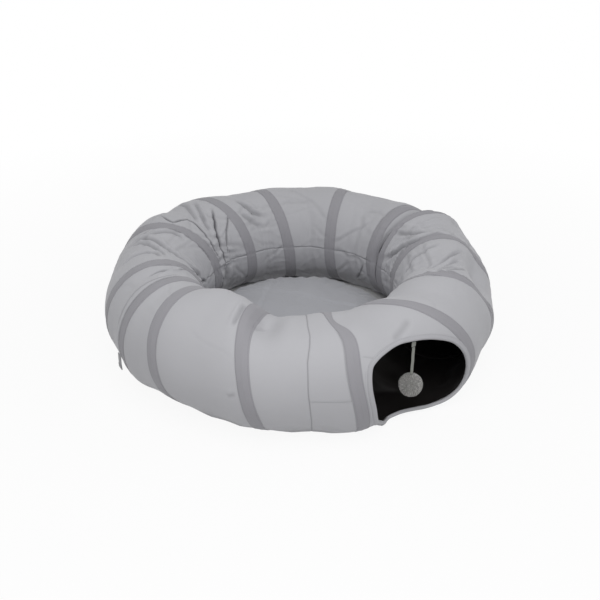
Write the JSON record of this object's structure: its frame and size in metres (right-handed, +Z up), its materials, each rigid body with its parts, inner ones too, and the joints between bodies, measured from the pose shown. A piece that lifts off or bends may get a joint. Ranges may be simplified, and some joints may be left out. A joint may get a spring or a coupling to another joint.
{
  "type": "donut cat tunnel",
  "caption": "Ring-shaped fabric cat tunnel held open by closed wire hoops, with bound entrances, a black lining, a loose round bed cushion in the middle and a hanging yarn ball.",
  "frame": {"origin": "on the floor at the ring's centre, in the middle of the bed cushion's underside", "axes": "+Z up; -Y out through the front entrance, which holds the toy; +X to the right of someone who looks into that entrance"},
  "size_m": [0.9299, 0.9177, 0.2596],
  "materials": {
    "panel_cloth": "soft grey felt-like polyester",
    "casing_tape": "flat woven tape, darker grey",
    "lining_cloth": "black polyester",
    "hem_binding": "folded edge binding",
    "spring_wire": "drawn spring steel",
    "cushion_cloth": "soft grey plush",
    "cushion_fill": "polyester fibre filling",
    "yarn": "wound grey yarn",
    "elastic_braid": "flat braided elastic",
    "strap_webbing": "narrow webbing"
  },
  "bodies": {
    "tunnel": {"panel_01": "panel_cloth", "panel_02": "panel_cloth", "panel_03": "panel_cloth", "panel_04": "panel_cloth", "panel_05": "panel_cloth", "panel_06": "panel_cloth", "panel_07": "panel_cloth", "panel_08": "panel_cloth", "panel_09": "panel_cloth", "panel_10": "panel_cloth", "panel_11": "panel_cloth", "panel_12": "panel_cloth", "panel_13": "panel_cloth", "panel_14": "panel_cloth", "hoop_casing_01": "casing_tape", "hoop_casing_02": "casing_tape", "hoop_casing_03": "casing_tape", "hoop_casing_04": "casing_tape", "hoop_casing_05": "casing_tape", "hoop_casing_06": "casing_tape", "hoop_casing_07": "casing_tape", "hoop_casing_08": "casing_tape", "hoop_casing_09": "casing_tape", "hoop_casing_10": "casing_tape", "hoop_casing_11": "casing_tape", "hoop_casing_12": "casing_tape", "hoop_casing_13": "casing_tape", "hoop_casing_14": "casing_tape", "wire_hoop_01": "spring_wire", "wire_hoop_02": "spring_wire", "wire_hoop_03": "spring_wire", "wire_hoop_04": "spring_wire", "wire_hoop_05": "spring_wire", "wire_hoop_06": "spring_wire", "wire_hoop_07": "spring_wire", "wire_hoop_08": "spring_wire", "wire_hoop_09": "spring_wire", "wire_hoop_10": "spring_wire", "wire_hoop_11": "spring_wire", "wire_hoop_12": "spring_wire", "wire_hoop_13": "spring_wire", "wire_hoop_14": "spring_wire", "lining_1": "lining_cloth", "lining_2": "lining_cloth", "lining_3": "lining_cloth", "lining_4": "lining_cloth", "lining_5": "lining_cloth", "lining_6": "lining_cloth", "lining_7": "lining_cloth", "entrance_hem_front": "hem_binding", "entrance_hem_back": "hem_binding"},
    "toy_tab": {"toy_tab": "strap_webbing"},
    "toy_elastic": {"toy_elastic": "elastic_braid"},
    "toy_ball": {"toy_ball": "yarn"},
    "bed_cushion": {"cushion_top_cover": "cushion_cloth", "cushion_base_cover": "cushion_cloth", "cushion_filling": "cushion_fill"},
    "tie_strap": {"tie_strap": "strap_webbing"}
  },
  "joints": [
    {"name": "tab_swing", "type": "hinge", "parent": "tunnel", "child": "toy_tab", "pos_m": [-0.01328, -0.42332, 0.20439], "axis": [-0.9995, 0.0314, 0], "range_deg": [-55, 55]},
    {"name": "elastic_swing", "type": "hinge", "parent": "toy_tab", "child": "toy_elastic", "pos_m": [-0.01328, -0.42332, 0.18929], "axis": [-0.0314, -0.9995, 0], "range_deg": [-40, 40]},
    {"name": "ball_pull", "type": "slide", "parent": "toy_elastic", "child": "toy_ball", "axis": [0, 0, -1], "range_m": [0, 0.01], "stiffness_N_per_m": 40, "springref_m": -0.012, "deforming": ["toy_elastic"]},
    {"name": "cushion_lift", "type": "slide", "parent": "tunnel", "child": "bed_cushion", "axis": [0, 0, 1], "range_m": [0, 0.3]},
    {"name": "strap_swing", "type": "hinge", "parent": "tunnel", "child": "tie_strap", "pos_m": [-0.45827, 0.03768, 0.09101], "axis": [0.0819, 0.9966, 0], "range_deg": [-12, 150]}
  ]
}
